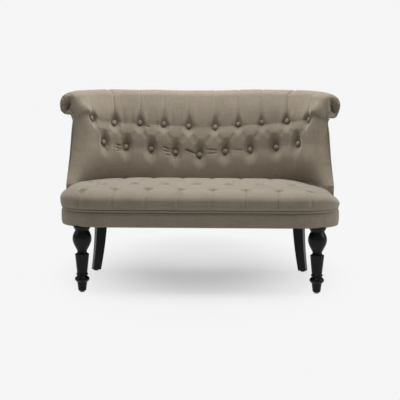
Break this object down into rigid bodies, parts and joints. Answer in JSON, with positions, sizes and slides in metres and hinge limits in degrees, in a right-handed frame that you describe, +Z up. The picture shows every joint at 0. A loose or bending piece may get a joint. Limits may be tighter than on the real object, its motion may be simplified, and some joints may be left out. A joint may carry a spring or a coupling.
{
  "type": "two-seater sofa",
  "caption": "Two-seater sofa with a deep buttoned, scroll topped back that wraps round into short wings, a tufted fixed seat with piping, and black turned front and swept rear legs.",
  "frame": {"origin": "on the floor under the middle of the sofa's bounding box", "axes": "+Z up, the sofa's front faces -Y and its back +Y, +X is to the right of someone who faces it"},
  "size_m": [1.257, 0.6972, 0.854],
  "materials": {
    "upholstery_linen": "woven linen look, matt",
    "linen_trim": "woven linen look, matt",
    "outside_linen": "woven linen look, matt",
    "black_satin": "black satin lacquer",
    "beech": "planed, bare",
    "plywood": "bent plywood, bare",
    "webbing": "woven strap",
    "deck_cloth": "calico",
    "foam": "cut foam",
    "wadding": "polyester wadding",
    "zinc": "zinc plated",
    "dust_cloth": "non-woven cloth",
    "nylon": "nylon"
  },
  "bodies": {
    "root": {"front_leg_left": "black_satin", "front_leg_right": "black_satin", "rear_leg_left": "black_satin", "rear_leg_right": "black_satin", "foot_glides": "nylon", "hanger_bolts": "zinc", "tee_nuts": "zinc", "front_rail": "beech", "rear_rail": "beech", "side_rail_left": "beech", "side_rail_right": "beech", "front_corner_left": "beech", "front_corner_right": "beech", "rear_corner_left": "beech", "rear_corner_right": "beech", "frame_dowels": "beech", "centre_stretcher": "beech", "seat_webbing_long": "webbing", "seat_webbing_cross": "webbing", "seat_deck": "deck_cloth", "seat_foam": "foam", "seat_pad": "upholstery_linen", "seat_piping": "linen_trim", "seat_border": "upholstery_linen", "dust_cover": "dust_cloth", "back_posts": "beech", "back_top_rail": "beech", "wing_panel_left": "plywood", "wing_panel_right": "plywood", "back_webbing_across": "webbing", "back_webbing_upright": "webbing", "back_wadding": "wadding", "inside_back": "upholstery_linen", "top_roll": "upholstery_linen", "roll_core": "beech", "roll_gather_left": "linen_trim", "roll_gather_right": "linen_trim", "buttons_top_row": "upholstery_linen", "buttons_low_row": "upholstery_linen", "outside_back_cover": "outside_linen"}
  },
  "joints": []
}
